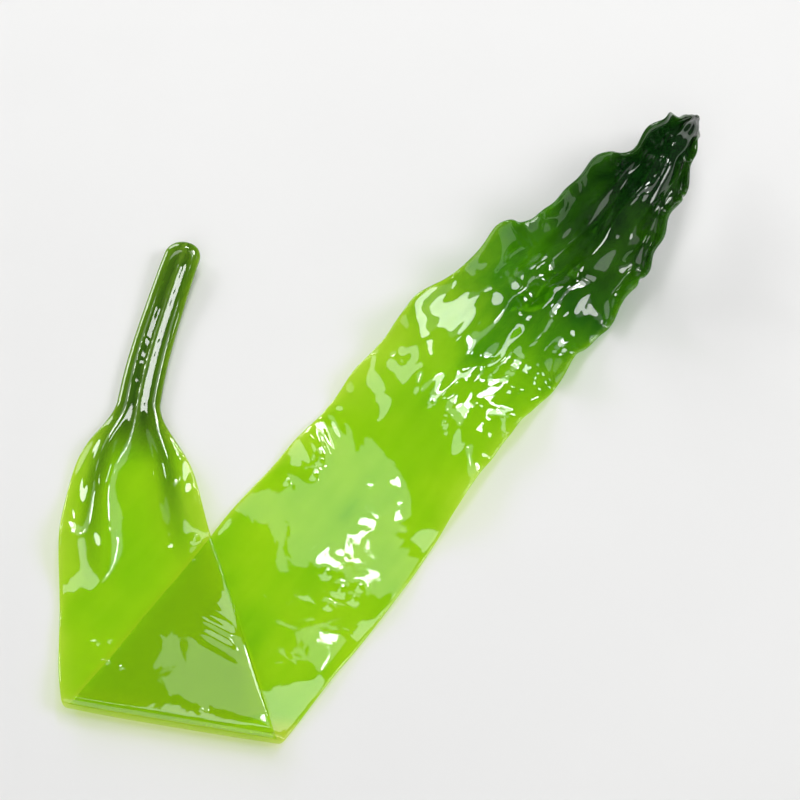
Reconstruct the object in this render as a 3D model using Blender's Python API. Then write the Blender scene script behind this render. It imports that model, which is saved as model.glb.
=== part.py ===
"""A kelp sprout, soaked and laid on a flat surface.

The blade is one thin ribbon. It runs flat from its fold to its tip, where it gathers into
pleats and rises. Near its base it is folded over once, so that a short flap lies on top of it,
narrows through two shoulders to the foot of the blade and carries the stipe, which lies beside
the ribbon.

Lengths are in metres and +Z is up. The model is laid out with +Y along the lower layer, from
the fold to the tip, and is then moved so that the middle of its box stands over the origin.

Two flat coordinates place every point of the unfolded sprout: u runs along its middle line,
0 at the fold, negative towards the tip and positive towards the stipe, and v runs across it,
from -1 at one margin to 1 at the other.
"""

import bpy
import numpy as np

MM = 0.001

# Lengths along the middle line
LOWER_LENGTH = 146 * MM
FLAP_LENGTH = 60 * MM
STIPE_LENGTH = 33 * MM

# The blade's outline: its full width, the foot with its shoulders, and the blunt tip
HALF_WIDTH = 15 * MM
FOOT_HALF_WIDTH = 3.6 * MM
SHOULDER_WIDTH = 4.4 * MM
SHOULDER_REACH = 8.5 * MM
SHOULDER_POWER = 2.2
FLAP_POWER = 1.4
TIP_HALF_WIDTH = 0.9 * MM
TIP_POWER = 4.2
TIP_ROUNDING = 0.7
WIDTH_SWELL = 0.05
WIDTH_SWELL_GROWTH = (0.1, 0.3)
WIDTH_WAVE = 14 * MM
NIBBLE = 0.03
NIBBLE_WAVES = (1.9 * MM, 4.3 * MM)

# The blade's thickness, and the two rails that the stipe sends out into the flap
MID_THICKNESS = 0.95 * MM
MARGIN_THICKNESS = 0.62 * MM
RAIL_HEIGHT = 1.25 * MM
RAIL_GROWTH = (20 * MM, 54 * MM)
RAIL_SHARE = 0.6
RAIL_HALF_WIDTHS = (2.4 * MM, 1.2 * MM)

# The fold
FOLD_TILT = np.radians(25)
FOLD_RADIUS = 1.1 * MM
LAYER_GAP = 0.35 * MM
SPRING_REACH = 9 * MM
DRAPE_REACH = 9 * MM
MARGIN_CLEARANCE = 0.5 * MM
SHEAR_START = 6 * MM
SHEAR_REACH = 26 * MM

# The flap's turn in its own plane, its raised margins and its foot
FLAP_TURN = np.radians(30)
TURN_START = 12 * MM
CUP_HEIGHT = 3.0 * MM
CUP_START = 10 * MM
CUP_FULL = 38 * MM
CUP_EASING = 46 * MM
CUP_POWER = 2.2
CUP_UNEVENNESS = 0.38
CUP_WAVE = 19 * MM
CUP_PHASES = (0.4, 2.2)
FOOT_BLEND = 12 * MM

# The stipe: its half width and half height at the foot and at the end, and its channel
STIPE_HALF_WIDTH = (3.6 * MM, 3.1 * MM)
STIPE_HALF_HEIGHT = (1.1 * MM, 1.0 * MM)
STIPE_FULLNESS = 0.7
STIPE_CHANNEL = 0.95 * MM
STIPE_CHANNEL_SHARE = 0.42
STIPE_CHANNEL_END = (5.5 * MM, 1.6 * MM)
STIPE_END_LIFT = 1.4 * MM
STIPE_LIFT_START = 0.35
STIPE_LIFT_POWER = 1.5
STIPE_END_ROUND = 3.0 * MM
STIPE_END_FACE = 0.3
JOINT_GAP = 0.3 * MM

# The lower layer's ruffled margins and its one slanted swell
FLAT_LENGTH = 52 * MM
FLAT_HALF = 0.35
RUFFLE_LENGTH = 17 * MM
RUFFLE_HEIGHT = 4.6 * MM
RUFFLE_LEAST = 0.08
RUFFLE_GROWTH = (24 * MM, 118 * MM)
RUFFLE_NARROWING = 6 * MM
RUFFLE_PHASES = (0.6, 2.9)
RUFFLE_DRIFTS = (1.1, 0.9)
DRIFT_LENGTHS = (17 * MM, 13 * MM)
FRILL_LENGTH = 9.5 * MM
FRILL_HEIGHT = 1.6 * MM
FRILL_GROWTH = (66 * MM, 112 * MM)
SWELL_PLACE = 68 * MM
SWELL_HALF_LENGTH = 8 * MM
SWELL_HEIGHT = 2.2 * MM
SWELL_SLANT = 0.45

# The gathered tip: pleats, curled margins, an arch, a sway and a twist
PLEAT_SLOPE = np.radians(64)
PLEAT_WAVES = 1.5
PLEAT_PHASE = 0.7
PLEAT_DRIFT = 1.4
PLEATS_FULL = 131 * MM
CURLS = (np.radians(-40), np.radians(60))
CURL_PHASES = (0.4, 2.6)
CURL_EDGE = 0.35
CURL_LENGTH = 41 * MM
CURL_START = 70 * MM
CURL_FULL = 122 * MM
ARCH_START = 88 * MM
ARCH_TOP = 111 * MM
ARCH_PITCH = np.radians(30)
TIP_PITCH = np.radians(-30)
SWAY = np.radians(11)
SWAY_BACK = np.radians(-18.7)
SWAY_TURN = 104 * MM
TWIST = np.radians(-16)

# Where the far part's middle surface takes over from the near part's
FAR_START = 0.55 * FLAT_LENGTH

# How finely the solids are cut
STATIONS_LOWER = 66
STATIONS_ROLL = 8
STATIONS_FLAP = 28
TIP_CROWDING = 0.35
ACROSS = 22
MIDDLE_CROWDING = 0.25
STIPE_STATIONS = 14
STIPE_END_STATIONS = 5
STIPE_SIDES = 26
PATH_STEPS = 600
SETTLE_STEPS = 49
SECTION_STEPS = 161
SET_DOWN = 0.06 * MM
SHARP_ANGLE = np.radians(50)

FOLD_OUT = np.array([np.sin(FOLD_TILT), -np.cos(FOLD_TILT)])


def ease(x, start, end):
    """0 before start, 1 after end, and a smooth S between them."""
    t = np.clip((x - start) / (end - start), 0, 1)
    return t * t * (3 - 2 * t)


def half_width(u):
    """Half the blade's width: full to the fold, a blunt tip, and a flap with shoulders at its foot."""
    share = np.clip(-u / LOWER_LENGTH, 0, 1)
    nibbles = NIBBLE * share**2 * np.sin(u / NIBBLE_WAVES[0]) * np.cos(u / NIBBLE_WAVES[1])
    swell = WIDTH_SWELL * ease(share, *WIDTH_SWELL_GROWTH) * np.sin(u / WIDTH_WAVE)
    lower = HALF_WIDTH * (1 - share**TIP_POWER) ** TIP_ROUNDING * (1 + nibbles - swell)
    from_foot = np.clip(FLAP_LENGTH - u, 0, FLAP_LENGTH)
    taper = 1 - np.clip(u / FLAP_LENGTH, 0, 1) ** FLAP_POWER
    shoulder = SHOULDER_WIDTH * (1 - np.exp(-((from_foot / SHOULDER_REACH) ** SHOULDER_POWER)))
    flap = FOOT_HALF_WIDTH + shoulder + (HALF_WIDTH - FOOT_HALF_WIDTH - SHOULDER_WIDTH) * taper
    return np.maximum(np.where(u < 0, lower, flap), TIP_HALF_WIDTH)


def rail_place(u):
    """Distance of each rail's top from the middle line: the rails part as the flap widens."""
    return RAIL_SHARE * half_width(u)


def thickness(u, across):
    """A leathery middle that thins to the margins, and a rail on each side, a bell curve.

    The rails are high and narrow at the foot, and grow wide and low until they are lost in the flap.
    """
    share = np.clip(np.abs(across) / half_width(u), 0, 1)
    leaf = MARGIN_THICKNESS + (MID_THICKNESS - MARGIN_THICKNESS) * (1 - share**3)
    wide, narrow = RAIL_HALF_WIDTHS
    half = wide + (narrow - wide) * ease(u, RAIL_GROWTH[0], FLAP_LENGTH)
    rail = np.exp(-(((np.abs(across) - rail_place(u)) / half) ** 2))
    return leaf + RAIL_HEIGHT * ease(u, *RAIL_GROWTH) * rail


def middle_line():
    """Stations u with the flat middle line's places and headings there, tip to stipe end."""
    u = np.linspace(-LOWER_LENGTH, FLAP_LENGTH + STIPE_LENGTH, PATH_STEPS)
    turn = FLAP_TURN * ease(u, TURN_START, FLAP_LENGTH + STIPE_LENGTH)
    step = np.diff(u, prepend=u[0])
    x = np.cumsum(np.sin(turn) * step)
    y = -np.cumsum(np.cos(turn) * step)
    return u, x - np.interp(0, u, x), y - np.interp(0, u, y), turn


def flat_places(u, across):
    """Flat places of points a distance across the middle line at u."""
    line_u, line_x, line_y, line_turn = middle_line()
    turn = np.interp(u, line_u, line_turn)
    x = np.interp(u, line_u, line_x) + across * np.cos(turn)
    y = np.interp(u, line_u, line_y) + across * np.sin(turn)
    return x, y


def lower_lift(x, y):
    """How far the lower layer's underside stands off the surface.

    It lies flat in the middle, its margins wave, with shorter frills towards the tip, and one low
    swell crosses it at a slant.
    """
    half = half_width(-y)
    share = np.clip(np.abs(x) / half, 0, 1)
    towards_margin = (np.clip(share - FLAT_HALF, 0, 1) / (1 - FLAT_HALF)) ** 2
    fullness = 1 - np.exp(-((half / RUFFLE_NARROWING) ** 2))
    height = RUFFLE_HEIGHT * fullness * (RUFFLE_LEAST + (1 - RUFFLE_LEAST) * ease(y, *RUFFLE_GROWTH))
    right_phase = RUFFLE_PHASES[0] + RUFFLE_DRIFTS[0] * np.sin(y / DRIFT_LENGTHS[0])
    left_phase = RUFFLE_PHASES[1] + RUFFLE_DRIFTS[1] * np.cos(y / DRIFT_LENGTHS[1])
    phase = np.where(x > 0, right_phase, left_phase)
    ruffle = height * towards_margin * (0.5 + 0.5 * np.sin(2 * np.pi * y / RUFFLE_LENGTH + phase))
    frill = FRILL_HEIGHT * fullness * ease(y, *FRILL_GROWTH) * towards_margin**2
    ruffle += frill * (0.5 + 0.5 * np.sin(2 * np.pi * y / FRILL_LENGTH + 2 * phase))
    swell = SWELL_HEIGHT * np.exp(-(((y + SWELL_SLANT * x - SWELL_PLACE) / SWELL_HALF_LENGTH) ** 2))
    return ruffle + swell


def support(x, y):
    """Height of what the flap lies on: the lower layer and a gap, easing down to the surface."""
    margin = -half_width(-y) - MARGIN_CLEARANCE
    inside = np.maximum(x, margin)
    top = lower_lift(inside, y) + thickness(-y, inside) + LAYER_GAP
    return top * (1 - ease(margin - x, 0, DRAPE_REACH))


def folded(u, v, thick):
    """The middle surface from the flat part of the lower layer, through the fold, to the foot.

    A flat point at distance d past the fold line goes once round a rod there: over half a turn
    it climbs two radii, and from then on it travels back over the lower layer.
    """
    across = v * half_width(u)
    shear = 1 - ease(np.abs(u), SHEAR_START, SHEAR_REACH)
    x, y = flat_places(u - shear * across * np.tan(FOLD_TILT), across)
    d = x * FOLD_OUT[0] + y * FOLD_OUT[1]
    line_x, line_y = x - d * FOLD_OUT[0], y - d * FOLD_OUT[1]
    half_turn = np.pi * FOLD_RADIUS
    angle = np.clip(d, 0, half_turn) / FOLD_RADIUS
    back = np.maximum(d - half_turn, 0)
    reach = np.where(d < 0, d, FOLD_RADIUS * np.sin(angle) - back)
    x, y = line_x + reach * FOLD_OUT[0], line_y + reach * FOLD_OUT[1]
    foot = ease(u, FLAP_LENGTH - FOOT_BLEND, FLAP_LENGTH)
    rise = thick * (1 - foot) + thickness(u, rail_place(u)) * foot
    below = np.where(d < 0, lower_lift(x, y), lower_lift(line_x, line_y))
    rolled = below + thick / 2 + FOLD_RADIUS * (1 - np.cos(angle))
    start = 2 * FOLD_RADIUS - thick - LAYER_GAP
    laid = support(x, y) + rise / 2 + start * np.exp(-((back / SPRING_REACH) ** 2)) + cup(u, v)
    return np.stack([x, y, np.where(d < half_turn, rolled, laid)], -1)


def cup(u, v):
    """How far the flap's margins stand above its middle, with a few uneven waves."""
    grow = ease(u, CUP_START, CUP_FULL) * (1 - ease(u, CUP_EASING, FLAP_LENGTH))
    phase = np.where(v > 0, *CUP_PHASES)
    wave = 1 - CUP_UNEVENNESS * (1 - np.sin(2 * np.pi * u / CUP_WAVE + phase))
    return CUP_HEIGHT * grow * np.abs(v) ** CUP_POWER * wave


def tip_path():
    """Distances from the fold, with the middle line's places and its directions to the side and up.

    The line sways in plan, arches up near the tip and comes down again, and the blade twists on it.
    """
    path = np.linspace(0, LOWER_LENGTH, PATH_STEPS)
    yaw = SWAY * ease(path, FLAT_LENGTH, SWAY_TURN) + SWAY_BACK * ease(path, SWAY_TURN, LOWER_LENGTH)
    rise = ease(path, ARCH_START, ARCH_TOP)
    fall = ease(path, ARCH_TOP, LOWER_LENGTH)
    pitch = ARCH_PITCH * rise + (TIP_PITCH - ARCH_PITCH) * fall
    twist = (TWIST * ease(path, FLAT_LENGTH, LOWER_LENGTH))[:, None]
    ahead = np.stack([np.sin(yaw) * np.cos(pitch), np.cos(yaw) * np.cos(pitch), np.sin(pitch)], -1)
    level = np.stack([np.cos(yaw), -np.sin(yaw), 0 * yaw], -1)
    upright = np.cross(level, ahead)
    right = level * np.cos(twist) + upright * np.sin(twist)
    up = upright * np.cos(twist) - level * np.sin(twist)
    middle = (np.cumsum(ahead, 0) - ahead[0]) * (path[1] - path[0])
    side, height = pleats(path, np.linspace(-1, 1, ACROSS + 1))
    lowest = (middle[:, 2:] + side * right[:, 2:] + height * up[:, 2:]).min(1)
    window = np.hanning(SETTLE_STEPS)
    sunk = np.pad(np.minimum(lowest, 0), SETTLE_STEPS // 2, mode="edge")
    middle[:, 2] -= np.convolve(sunk, window / window.sum(), "valid")
    return path, middle, right, up


def gathered(u, v):
    """The middle surface of the far part of the lower layer, each cross-section set on the path."""
    path, *lines = tip_path()
    far = -u[:, 0]
    middle, right, up = (
        np.stack([np.interp(far, path, line[:, i]) for i in range(3)], -1)[:, None, :] for line in lines
    )
    side, height = pleats(far, v[0])
    return middle + right * side[..., None] + up * height[..., None]


def pleats(far, v):
    """Each cross-section's places to the side and up, at distances far from the fold.

    A section keeps its length: its slope, a sine across the blade and a curl at each margin, is
    summed from the middle out.
    """
    fine = np.linspace(-1, 1, SECTION_STEPS)
    strength = PLEAT_SLOPE * ease(far, FLAT_LENGTH, PLEATS_FULL)[:, None]
    phase = PLEAT_PHASE + PLEAT_DRIFT * ease(far, FLAT_LENGTH, LOWER_LENGTH)[:, None]
    slope = strength * np.sin(np.pi * PLEAT_WAVES * fine + phase)
    curling = ease(far, CURL_START, CURL_FULL)[:, None]
    for curl, outward, start in zip(CURLS, (-fine, fine), CURL_PHASES):
        uneven = 0.6 + 0.4 * np.sin(2 * np.pi * far / CURL_LENGTH + start)[:, None]
        slope = slope + curl * curling * uneven * ease(outward, CURL_EDGE, 1)
    step = half_width(-far)[:, None] * (fine[1] - fine[0])
    side = np.cumsum(np.cos(slope) * step, 1)
    height = np.cumsum(np.sin(slope) * step, 1)
    middle = SECTION_STEPS // 2
    side, height = side - side[:, middle : middle + 1], height - height[:, middle : middle + 1]
    pick = np.interp(v, fine, np.arange(SECTION_STEPS))
    low, part = np.floor(pick).astype(int), pick % 1
    high = np.minimum(low + 1, SECTION_STEPS - 1)
    return (line[:, low] * (1 - part) + line[:, high] * part for line in (side, height))


def blade_grid():
    """The grid of flat coordinates: stations close together round the fold and at the tip."""
    roll_end = np.pi * FOLD_RADIUS / np.cos(FOLD_TILT)
    share = np.linspace(0, 1, STATIONS_LOWER)
    crowded = (1 + np.cos(np.pi * share)) / 2
    lower = -LOWER_LENGTH * (TIP_CROWDING * crowded + (1 - TIP_CROWDING) * (1 - share))
    roll = np.linspace(0, roll_end, STATIONS_ROLL + 1)[1:]
    flap = np.linspace(roll_end, FLAP_LENGTH, STATIONS_FLAP)[1:]
    s = np.linspace(-1, 1, ACROSS + 1)
    v = (1 - MIDDLE_CROWDING) * s + MIDDLE_CROWDING * s**3
    return np.meshgrid(np.concatenate([lower, roll, flap]), v, indexing="ij")


def blade_middle(u, v):
    """The blade's middle surface and its thickness."""
    across = v * half_width(u)
    thick = thickness(u, across)
    near = folded(u, v, thick)
    far = gathered(u, v)
    far[..., 2] += lower_lift(across, -u) + thick / 2
    share = ease(-u, FAR_START, FLAT_LENGTH)[..., None]
    return near * (1 - share) + far * share, thick


def unit_normals(places):
    """The unit normal at each point of a grid, from the grid's two directions."""
    along, across = np.gradient(places, axis=0), np.gradient(places, axis=1)
    normal = np.cross(along, across)
    return normal / np.linalg.norm(normal, axis=-1, keepdims=True)


def resting(places):
    """The places with nothing below the surface, and what nearly touches it set flat on it."""
    places[..., 2] = np.where(places[..., 2] < SET_DOWN, 0, places[..., 2])
    return places


def blade_shell():
    """Vertices and triangles of the closed blade: two faces, alike in their cuts, and a rim."""
    u, v = blade_grid()
    places, thick = blade_middle(u, v)
    offset = unit_normals(places) * thick[..., None] / 2
    rows, columns = u.shape
    faces = [resting(places + side * offset).reshape(-1, 3) for side in (1, -1)]
    index = np.arange(rows * columns).reshape(rows, columns)
    a, b = index[:-1, :-1], index[1:, :-1]
    c, d = index[1:, 1:], index[:-1, 1:]
    face = np.concatenate([np.stack([a, b, c], -1).reshape(-1, 3), np.stack([a, c, d], -1).reshape(-1, 3)])
    other = face[:, ::-1] + rows * columns
    rim = np.concatenate([index[:-1, 0], index[-1, :-1], index[:0:-1, -1], index[0, :0:-1]])
    after = np.roll(rim, -1)
    below, below_after = rim + rows * columns, after + rows * columns
    edge = np.concatenate([np.stack([rim, below, below_after], -1), np.stack([rim, below_after, after], -1)])
    return np.concatenate(faces), np.concatenate([face, other, edge])


def stipe_stations():
    """Stations along the stipe, close together where its end is rounded off."""
    start, end = FLAP_LENGTH + JOINT_GAP, FLAP_LENGTH + STIPE_LENGTH
    even = np.linspace(start, end - STIPE_END_ROUND, STIPE_STATIONS)
    arc = np.linspace(0, np.arccos(STIPE_END_FACE), STIPE_END_STATIONS + 1)[1:]
    return np.concatenate([even, end - STIPE_END_ROUND * (1 - np.sin(arc))])[:, None]


def stipe_shell():
    """Vertices and faces of the stipe: a full, flattened oval with a channel along its top.

    The channel ends short of the stipe's end, where the two rails beside it join in an arch.
    """
    u = stipe_stations()
    stipe_end = FLAP_LENGTH + STIPE_LENGTH
    share = (u - FLAP_LENGTH) / STIPE_LENGTH
    into_end = np.clip(u - (stipe_end - STIPE_END_ROUND), 0, None) / STIPE_END_ROUND
    closing = np.sqrt(1 - into_end**2)
    angle = np.linspace(0, 2 * np.pi, STIPE_SIDES, endpoint=False)[None]
    full_width = STIPE_HALF_WIDTH[0] + (STIPE_HALF_WIDTH[1] - STIPE_HALF_WIDTH[0]) * share
    half_height = STIPE_HALF_HEIGHT[0] + (STIPE_HALF_HEIGHT[1] - STIPE_HALF_HEIGHT[0]) * share
    across = full_width * closing * np.cos(angle)
    hollow = np.exp(-((across / (STIPE_CHANNEL_SHARE * full_width)) ** 2))
    hollow = hollow * (1 - ease(u, *(stipe_end - np.array(STIPE_CHANNEL_END))))
    bulge = np.sign(np.sin(angle)) * np.abs(np.sin(angle)) ** STIPE_FULLNESS
    z = half_height * (1 + closing * bulge) - STIPE_CHANNEL * closing * hollow * (np.sin(angle) > 0)
    z += STIPE_END_LIFT * ease(share, STIPE_LIFT_START, 1) ** STIPE_LIFT_POWER
    flat_x, flat_y = flat_places(u + 0 * across, across)
    d = flat_x * FOLD_OUT[0] + flat_y * FOLD_OUT[1]
    back = 2 * d - np.pi * FOLD_RADIUS
    vertices = np.stack([flat_x - back * FOLD_OUT[0], flat_y - back * FOLD_OUT[1], z], -1)
    index = np.arange(vertices[..., 0].size).reshape(vertices.shape[:2])
    after = np.roll(index, -1, axis=1)
    sides = np.stack([index[:-1], index[1:], after[1:], after[:-1]], -1).reshape(-1, 4)
    faces = [tuple(face) for face in sides.tolist()]
    faces += [tuple(index[0].tolist()), tuple(index[-1, ::-1].tolist())]
    return vertices.reshape(-1, 3), faces


def kelp_material(name, colour, roughness):
    """A Principled material of one colour."""
    material = bpy.data.materials.new(name)
    material.use_nodes = True
    shader = material.node_tree.nodes["Principled BSDF"]
    shader.inputs["Base Color"].default_value = (*colour, 1)
    shader.inputs["Roughness"].default_value = roughness
    shader.inputs["Metallic"].default_value = 0
    return material


def add_piece(name, vertices, faces, material):
    """A named object of these faces, shaded smooth but for its sharp edges."""
    mesh = bpy.data.meshes.new(name)
    mesh.from_pydata(vertices.tolist(), [], faces)
    mesh.update()
    mesh.shade_smooth()
    mesh.set_sharp_from_angle(angle=SHARP_ANGLE)
    mesh.materials.append(material)
    piece = bpy.data.objects.new(name, mesh)
    bpy.context.scene.collection.objects.link(piece)
    return piece


def main():
    for old in list(bpy.data.objects):
        bpy.data.objects.remove(old, do_unlink=True)
    blade_points, blade_faces = blade_shell()
    stipe_points, stipe_faces = stipe_shell()
    every = np.concatenate([blade_points, stipe_points])
    centre = (every.min(0) + every.max(0)) / 2
    centre[2] = 0
    blade_green = kelp_material("blade_green", (0.19, 0.46, 0.01), 0.12)
    stipe_olive = kelp_material("stipe_olive", (0.10, 0.22, 0.01), 0.25)
    add_piece("blade", blade_points - centre, blade_faces.tolist(), blade_green)
    add_piece("stipe", stipe_points - centre, stipe_faces, stipe_olive)


main()
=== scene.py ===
# %% [markdown]
# # A soaked kelp sprout
#
# This lesson dresses one kelp sprout for a picture. A kelp sprout is a young seaweed: one thin
# ribbon, the blade, and a flattened stem, the stipe. Here it has been soaked and laid down wet,
# folded over once near its foot. The plain solids of both pieces are loaded first. They give the
# place and the size, and every fine piece made below lies where its solid lies.

import bpy
import numpy as np
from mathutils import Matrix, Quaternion, Vector


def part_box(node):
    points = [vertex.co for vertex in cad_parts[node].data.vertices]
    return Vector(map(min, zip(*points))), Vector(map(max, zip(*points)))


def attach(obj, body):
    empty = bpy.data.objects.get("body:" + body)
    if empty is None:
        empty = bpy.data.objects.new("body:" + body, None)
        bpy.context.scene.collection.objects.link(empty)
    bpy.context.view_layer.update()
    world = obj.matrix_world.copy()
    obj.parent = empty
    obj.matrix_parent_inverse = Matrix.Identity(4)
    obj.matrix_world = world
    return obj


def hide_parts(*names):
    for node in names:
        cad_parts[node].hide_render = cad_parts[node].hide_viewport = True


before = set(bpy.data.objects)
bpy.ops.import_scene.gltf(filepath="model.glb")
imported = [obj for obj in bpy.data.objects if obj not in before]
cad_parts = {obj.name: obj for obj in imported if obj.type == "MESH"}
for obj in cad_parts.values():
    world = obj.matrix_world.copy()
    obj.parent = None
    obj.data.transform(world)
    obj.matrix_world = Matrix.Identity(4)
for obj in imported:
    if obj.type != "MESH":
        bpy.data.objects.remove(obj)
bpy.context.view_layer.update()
MM = 0.001

print("solids:", ", ".join(sorted(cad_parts)))

# %% [markdown]
# ## Two coordinates for the whole sprout
#
# A ribbon that folds and curls could be modelled by pulling a mesh about by hand. It is easier to
# keep honest when it is drawn flat first. Every point of the unfolded sprout has two coordinates:
# `u` runs along the middle line, 0 at the fold, negative towards the tip and positive towards the
# stipe, and `across` is the distance from the middle line. Everything else is a function of
# those two: the outline, the thickness, the fold, the ruffles, and later the colours too.

# %% Driving lengths of the sprout
LOWER_LENGTH = 146 * MM
FLAP_LENGTH = 60 * MM
STIPE_LENGTH = 33 * MM
STIPE_END = FLAP_LENGTH + STIPE_LENGTH
HALF_WIDTH = 15 * MM
FOOT_HALF_WIDTH = 3.6 * MM
STIPE_END_HALF_WIDTH = 3.1 * MM
STIPE_END_ROUND = 3.0 * MM
STIPE_END_LEAST = 0.02
SHOULDER_WIDTH = 4.4 * MM
SHOULDER_REACH = 8.5 * MM
TIP_HALF_WIDTH = 0.9 * MM


def ease(x, start, end):
    """0 before start, 1 after end, and between them 3t² - 2t³, where t is the share of the way."""
    t = np.clip((x - start) / (end - start), 0, 1)
    return t * t * (3 - 2 * t)


def between(pair, share):
    """The value that lies a share of the way from the first of the pair to the second."""
    return pair[0] + (pair[1] - pair[0]) * share


print("unfolded length in mm:", round((LOWER_LENGTH + STIPE_END) / MM, 1))

# %% The outline
# the lower layer's edge: small nibbles and a slow swell, as shares of the half width
NIBBLE = 0.03
NIBBLE_REACHES = (1.9 * MM, 4.3 * MM)
EDGE_SWELL = 0.05
EDGE_SWELL_REACH = 14 * MM


def end_closing(u):
    """1 along the sprout, and over the stipe's last stretch a quarter circle, down to a least share."""
    into_end = np.clip(u - (STIPE_END - STIPE_END_ROUND), 0, None) / STIPE_END_ROUND
    return np.sqrt(np.clip(1 - into_end**2, STIPE_END_LEAST**2, 1))


def half_width(u):
    """Half the sprout's width at u.

    Towards the tip it is the full width times (1 - share^4.2)^0.7, less a slow swell and with
    small nibbles in the edge. The flap narrows by share^1.4 and then through two shoulders,
    1 - exp(-(distance / reach)^2.2). The stipe narrows in a straight line.
    """
    share = np.clip(-u / LOWER_LENGTH, 0, 1)
    nibbles = NIBBLE * share**2 * np.sin(u / NIBBLE_REACHES[0]) * np.cos(u / NIBBLE_REACHES[1])
    swell = EDGE_SWELL * ease(share, 0.1, 0.3) * np.sin(u / EDGE_SWELL_REACH)
    lower = HALF_WIDTH * (1 - share**4.2) ** 0.7 * (1 + nibbles - swell)
    from_foot = np.clip(FLAP_LENGTH - u, 0, FLAP_LENGTH)
    taper = 1 - np.clip(u / FLAP_LENGTH, 0, 1) ** 1.4
    shoulder = SHOULDER_WIDTH * (1 - np.exp(-((from_foot / SHOULDER_REACH) ** 2.2)))
    flap = FOOT_HALF_WIDTH + shoulder + (HALF_WIDTH - FOOT_HALF_WIDTH - SHOULDER_WIDTH) * taper
    along_stipe = np.clip((u - FLAP_LENGTH) / STIPE_LENGTH, 0, 1)
    narrowing = (FOOT_HALF_WIDTH - STIPE_END_HALF_WIDTH) * along_stipe
    whole = np.where(u < 0, lower, flap - narrowing) * end_closing(u)
    return np.where(u < FLAP_LENGTH, np.maximum(whole, TIP_HALF_WIDTH), whole)


print("width in mm at the fold, the foot and the stipe's middle:",
      [round(float(2 * half_width(u * MM) / MM), 1) for u in (0, 60, 76)])

# %% [markdown]
# ## Thickness
#
# The soaked blade is leathery in the middle and thins to its margins. The stipe is a flattened
# stem with a channel along its top and a rounded rail on each side. Both rails run on into the
# flap, part like the two arms of a Y and are lost in it. A Solidify modifier gives only one
# thickness. A thickness that is a function of the two coordinates gives the rails, the channel
# and the thin margin at once.

# %% Thickness of the blade
MID_THICKNESS = 0.95 * MM
MARGIN_THICKNESS = 0.62 * MM
RIM_RADIUS = MARGIN_THICKNESS / 2
RAIL_HEIGHT = 1.25 * MM
RAIL_START = 20 * MM
RAIL_FULL = 54 * MM
RAIL_PLACE = 0.6
RAIL_HALF_WIDTHS = (2.4 * MM, 1.2 * MM)


def rails(u, across):
    """1 along the top of each rail of the flap, 0 beside it, a bell curve.

    A rail stands 0.6 of the half width off the middle line. It is narrow and high at the foot,
    and grows wide and low until it is lost in the flap.
    """
    half = between(RAIL_HALF_WIDTHS, ease(u, RAIL_START, FLAP_LENGTH))
    bell = np.exp(-(((np.abs(across) - RAIL_PLACE * half_width(u)) / half) ** 2))
    return ease(u, RAIL_START, RAIL_FULL) * bell


def thickness(u, across):
    """Margin thickness plus (1 - share³) of the rest, plus the rails."""
    share = np.clip(np.abs(across) / half_width(u), 0, 1)
    leaf = MARGIN_THICKNESS + (MID_THICKNESS - MARGIN_THICKNESS) * (1 - share**3)
    return leaf + RAIL_HEIGHT * rails(u, across)


print("thickness in mm in the middle and near the margin:",
      [round(float(thickness(-40 * MM, a * MM) / MM), 2) for a in (0, 14)])

# %% Height of the stipe, and both sections in one
STIPE_HALF_HEIGHTS = (1.1 * MM, 1.0 * MM)
STIPE_CHANNEL = 0.95 * MM
CHANNEL_HALF_SHARE = 0.42
CHANNEL_RUN_OUT = (5.5 * MM, 1.6 * MM)
FOOT_BLEND = 13 * MM


def stipe_half_height(u):
    """Half the stipe's height, in a straight line from its foot to its end."""
    return between(STIPE_HALF_HEIGHTS, np.clip((u - FLAP_LENGTH) / STIPE_LENGTH, 0, 1))


def section(u, across, shown):
    """Distance from the middle surface to one face.

    On the blade it is half the thickness, closed by a quarter circle at the margin. On the stipe
    it is the half height times (1 - share²)^0.35, a full oval, less the channel on the face that
    shows, which ends under the arch where the rails join. The one turns smoothly into the other
    over the blade's foot.
    """
    half = half_width(u)
    share = np.clip(np.abs(across) / half, 0, 1)
    into_rim = np.clip((np.abs(across) - (half - RIM_RADIUS)) / RIM_RADIUS, 0, 1)
    leaf = thickness(u, across) / 2 * np.sqrt(1 - into_rim**2)
    oval = (1 - share**2) ** 0.35
    run_out = ease(u, STIPE_END - CHANNEL_RUN_OUT[0], STIPE_END - CHANNEL_RUN_OUT[1])
    hollow = np.exp(-((share / CHANNEL_HALF_SHARE) ** 2)) * shown * (1 - run_out)
    stipe = (stipe_half_height(u) * oval - STIPE_CHANNEL * hollow * oval) * end_closing(u)
    foot = ease(u, FLAP_LENGTH - FOOT_BLEND, FLAP_LENGTH)
    return leaf * (1 - foot) + stipe * foot


print("the stipe's half height in mm in the channel and on a rail:",
      [round(float(section(76 * MM, a * MM, 1) / MM), 2) for a in (0, 2)])

# %% [markdown]
# ## The part that lies flat, and the fold
#
# The lower layer lies on the table with gently waved margins and one low swell across it. At the
# fold the ribbon goes half round a thin rod, slanted by 25 degrees, and comes back on top of
# itself. There it lies on the lower layer, and past that layer's margin it sinks to the table.
# Folding is a sum: a point past the fold line by a distance `d` comes back by the same distance.

# %% The flat middle line
FLAP_TURN = np.radians(30)
FLAP_TURN_START = 12 * MM
LINE_STEPS = 2400


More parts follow.
